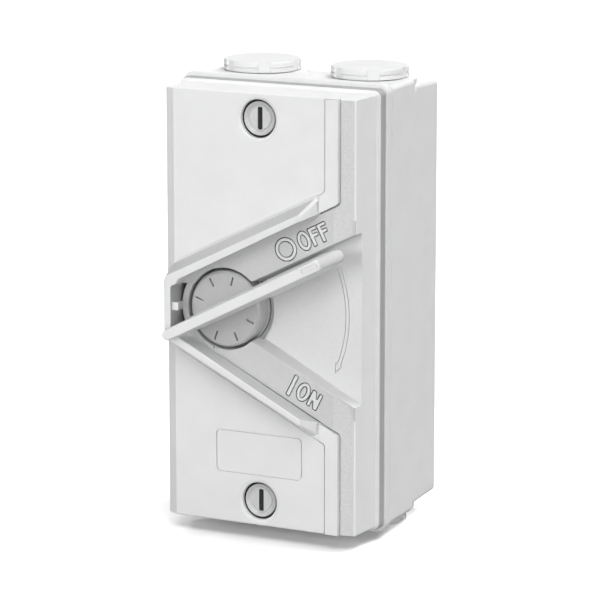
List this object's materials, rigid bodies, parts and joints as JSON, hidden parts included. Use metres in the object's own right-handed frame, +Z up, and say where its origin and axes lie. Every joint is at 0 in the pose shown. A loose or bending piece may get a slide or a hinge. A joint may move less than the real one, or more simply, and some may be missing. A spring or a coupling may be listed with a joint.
{
  "type": "rotary isolator switch",
  "caption": "Weatherproof rotary isolator in a tall two-part enclosure: a long lever on a round knob turns in a flared recess between guard rims.",
  "frame": {"origin": "centre of the flat rear face that lies on the wall", "axes": "+Z up along the tall side, +Y into the wall so the cover and handle face -Y, +X to the right seen from the front"},
  "size_m": [0.082, 0.0792, 0.1704],
  "materials": {
    "cover_plastic": "satin off-white, slightly warm where it faces the light",
    "box_plastic": "satin off-white",
    "handle_plastic": "satin white",
    "knob_plastic": "fine matt light grey",
    "seal_rubber": "matt dark grey",
    "module_plastic": "matt grey",
    "rotor_plastic": "matt pale grey",
    "contact_copper": "plain copper",
    "brass": "turned brass",
    "steel": "zinc-plated"
  },
  "bodies": {
    "case": {"back_box": "box_plastic", "screw_insert_top": "brass", "screw_insert_bottom": "brass", "plug_top_left": "box_plastic", "plug_top_right": "box_plastic", "plug_bottom_left": "box_plastic", "plug_bottom_right": "box_plastic", "plug_seal_top_left": "seal_rubber", "plug_seal_top_right": "seal_rubber", "plug_seal_bottom_left": "seal_rubber", "plug_seal_bottom_right": "seal_rubber", "switch_housing_front": "module_plastic", "switch_housing_rear": "module_plastic", "contact_top": "contact_copper", "contact_bottom": "contact_copper", "contact_left": "contact_copper", "contact_right": "contact_copper", "terminal_screw_top": "steel", "terminal_screw_bottom": "steel", "terminal_screw_left": "steel", "terminal_screw_right": "steel", "housing_screw_top_left": "steel", "housing_screw_top_right": "steel", "housing_screw_bottom_left": "steel", "housing_screw_bottom_right": "steel", "detent_ball": "steel", "detent_spring": "steel", "earth_bar": "brass", "earth_fixing_screw_top": "steel", "earth_fixing_screw_bottom": "steel", "earth_clamp_screw_top": "steel", "earth_clamp_screw_bottom": "steel"},
    "cover": {"cover": "cover_plastic", "cover_gasket": "seal_rubber"},
    "handle": {"knob": "knob_plastic", "handle_lever": "handle_plastic", "handle_screw_left": "steel", "handle_screw_right": "steel", "knob_seal": "seal_rubber", "knob_clip": "steel", "drive_shaft": "steel"},
    "rotor": {"rotor": "rotor_plastic", "bridge_front": "contact_copper", "bridge_rear": "contact_copper"},
    "upper_screw": {"cover_screw_top": "handle_plastic", "screw_seal_top": "seal_rubber"},
    "lower_screw": {"cover_screw_bottom": "handle_plastic", "screw_seal_bottom": "seal_rubber"}
  },
  "joints": [
    {"name": "cover_lift", "type": "slide", "parent": "case", "child": "cover", "axis": [0, -1, 0], "range_m": [0, 0.06]},
    {"name": "handle_turn", "type": "hinge", "parent": "cover", "child": "handle", "pos_m": [-0.0136, -0.0684, 0], "axis": [0, 1, 0], "range_deg": [0, 54.4]},
    {"name": "rotor_turn", "type": "hinge", "parent": "case", "child": "rotor", "pos_m": [-0.0136, -0.02, 0], "axis": [0, 1, 0], "range_deg": [-2, 56.4]},
    {"name": "upper_screw_turn", "type": "hinge", "parent": "cover", "child": "upper_screw", "pos_m": [0, -0.0684, 0.0703], "axis": [0, 1, 0], "range_deg": [0, 90]},
    {"name": "lower_screw_turn", "type": "hinge", "parent": "cover", "child": "lower_screw", "pos_m": [0, -0.0684, -0.0703], "axis": [0, 1, 0], "range_deg": [0, 90]}
  ],
  "couplings": [
    {"joint": "rotor_turn", "follows": "handle_turn", "ratio": 1}
  ]
}
